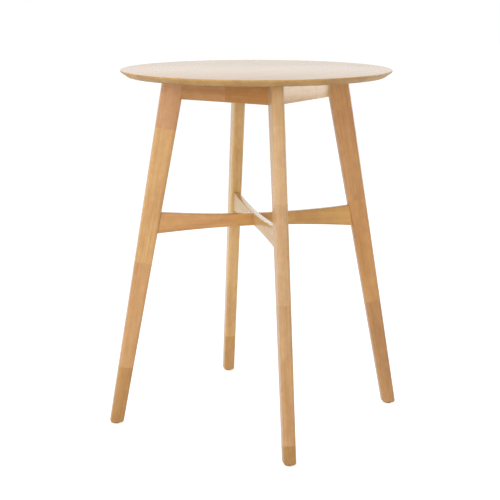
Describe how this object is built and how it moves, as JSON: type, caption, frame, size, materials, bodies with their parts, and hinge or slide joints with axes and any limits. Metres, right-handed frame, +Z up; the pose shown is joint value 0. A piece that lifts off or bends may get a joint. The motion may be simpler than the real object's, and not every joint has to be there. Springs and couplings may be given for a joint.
{
  "type": "round bar table",
  "caption": "Bar-height round wooden table with an undercut top, a square apron frame, splayed tapered legs and a halved crossed stretcher.",
  "frame": {"origin": "on the floor under the middle of the round top", "axes": "+Z up; the aprons lie along X and Y; the legs and stretcher bars stand on the diagonals; -Y is called front, and the leg named front stands at +X -Y"},
  "size_m": [0.8, 0.8, 1.07],
  "materials": {
    "top_wood": "clear satin lacquer on rubberwood",
    "leg_wood": "clear satin lacquer on end-glued rubberwood",
    "apron_wood": "clear satin lacquer on rubberwood",
    "stretcher_wood": "clear satin lacquer on rubberwood",
    "block_wood": "sanded, no lacquer",
    "dowel_wood": "plain beech",
    "zinc_steel": "bright zinc",
    "glide_plastic": "dark brown plastic"
  },
  "bodies": {
    "root": {"tabletop_stave_01": "top_wood", "tabletop_stave_02": "top_wood", "tabletop_stave_03": "top_wood", "tabletop_stave_04": "top_wood", "tabletop_stave_05": "top_wood", "tabletop_stave_06": "top_wood", "tabletop_stave_07": "top_wood", "tabletop_stave_08": "top_wood", "tabletop_stave_09": "top_wood", "tabletop_stave_10": "top_wood", "leg_front": "leg_wood", "leg_right": "leg_wood", "leg_back": "leg_wood", "leg_left": "leg_wood", "apron_front": "apron_wood", "apron_right": "apron_wood", "apron_back": "apron_wood", "apron_left": "apron_wood", "corner_block_front": "block_wood", "corner_block_right": "block_wood", "corner_block_back": "block_wood", "corner_block_left": "block_wood", "stretcher_left_right": "stretcher_wood", "stretcher_front_back": "stretcher_wood", "stretcher_dowels": "dowel_wood", "hanger_bolts": "zinc_steel", "hanger_washers": "zinc_steel", "hanger_nuts": "zinc_steel", "corner_block_screws": "zinc_steel", "halving_screw": "zinc_steel", "top_bracket_front": "zinc_steel", "top_bracket_right": "zinc_steel", "top_bracket_back": "zinc_steel", "top_bracket_left": "zinc_steel", "bracket_apron_screws": "zinc_steel", "bracket_top_screws": "zinc_steel", "glide_nails": "zinc_steel", "foot_glide_front": "glide_plastic", "foot_glide_right": "glide_plastic", "foot_glide_back": "glide_plastic", "foot_glide_left": "glide_plastic"}
  },
  "joints": []
}
